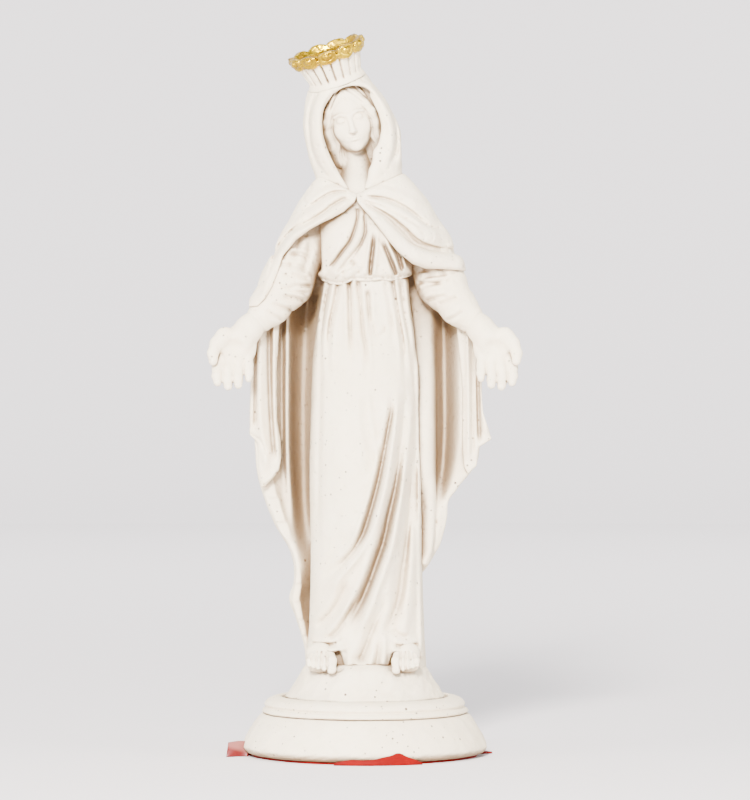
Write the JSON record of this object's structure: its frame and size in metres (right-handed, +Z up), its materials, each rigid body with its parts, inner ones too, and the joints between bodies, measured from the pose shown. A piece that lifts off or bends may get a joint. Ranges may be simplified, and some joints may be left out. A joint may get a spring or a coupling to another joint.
{
  "type": "madonna statuette",
  "caption": "Veiled and crowned standing madonna in cream cast resin, open hands lowered, on a round stepped plinth with a red film underneath.",
  "frame": {"origin": "centre of the flat underside the statuette stands on", "axes": "+Z up through the figure, -Y the way the figure faces, +X the figure's own left"},
  "size_m": [0.065, 0.0514, 0.1506],
  "materials": {
    "cast_resin": "matte cream cast stone resin with pinholes",
    "gold_paint": "metallic gold paint over resin",
    "red_film": "thin red film with torn edges",
    "steel": "plain drawn steel",
    "brass": "drawn brass"
  },
  "bodies": {
    "root": {"underside_film": "red_film", "base_drum": "cast_resin", "base_collar": "cast_resin", "ground_mound": "cast_resin", "tie_rod": "steel", "tie_nut": "steel", "tie_washer": "steel", "foot_right": "cast_resin", "foot_left": "cast_resin", "gown_skirt": "cast_resin", "gown_bodice": "cast_resin", "mantle_back": "cast_resin", "mantle_fall_right": "cast_resin", "mantle_fall_left": "cast_resin", "cape_right": "cast_resin", "cape_left": "cast_resin", "sleeve_right": "cast_resin", "sleeve_left": "cast_resin", "arm_wire_right": "steel", "arm_wire_left": "steel", "hand_right": "cast_resin", "hand_left": "cast_resin", "head": "cast_resin", "neck_dowel": "brass", "veil": "cast_resin", "crown_band": "cast_resin", "crown_rim": "gold_paint", "crown_pin": "brass"}
  },
  "joints": []
}
